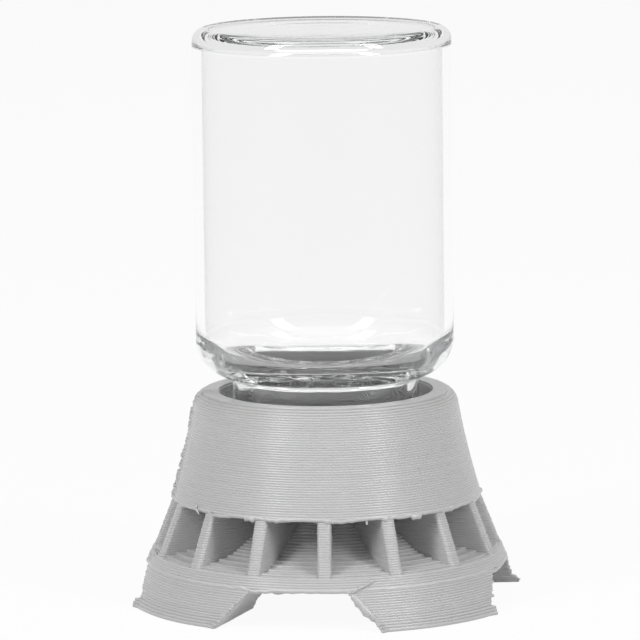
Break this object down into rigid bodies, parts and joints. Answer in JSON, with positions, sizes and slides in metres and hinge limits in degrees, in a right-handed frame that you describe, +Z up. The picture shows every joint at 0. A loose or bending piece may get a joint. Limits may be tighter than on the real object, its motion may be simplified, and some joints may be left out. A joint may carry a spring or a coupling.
{
  "type": "gravity drinker",
  "caption": "Small gravity drinker: an inverted glass vial standing mouth-down in the collar of a finned, footed printed base.",
  "frame": {"origin": "centre of the circle that the four feet stand on, on the vial's axis, in the plane of the feet's undersides", "axes": "+Z up along the vial's axis; the four channels under the dish run in along X and Y; -Y is the front"},
  "size_m": [0.0308, 0.0308, 0.0489],
  "materials": {
    "printed_plastic": "light grey filament print, satin, fine horizontal layer lines",
    "clear_glass": "clear polished glass"
  },
  "bodies": {
    "base": {"collar": "printed_plastic", "fin_01": "printed_plastic", "fin_02": "printed_plastic", "fin_03": "printed_plastic", "fin_04": "printed_plastic", "fin_05": "printed_plastic", "fin_06": "printed_plastic", "fin_07": "printed_plastic", "fin_08": "printed_plastic", "fin_09": "printed_plastic", "fin_10": "printed_plastic", "fin_11": "printed_plastic", "fin_12": "printed_plastic", "fin_13": "printed_plastic", "fin_14": "printed_plastic", "fin_15": "printed_plastic", "dish": "printed_plastic", "hill": "printed_plastic", "foot_front_right": "printed_plastic", "foot_back_right": "printed_plastic", "foot_back_left": "printed_plastic", "foot_front_left": "printed_plastic"},
    "vial": {"glass_vial": "clear_glass"}
  },
  "joints": [
    {"name": "vial_lift", "type": "slide", "parent": "base", "child": "vial", "axis": [0, 0, 1], "range_m": [0, 0.03]}
  ]
}
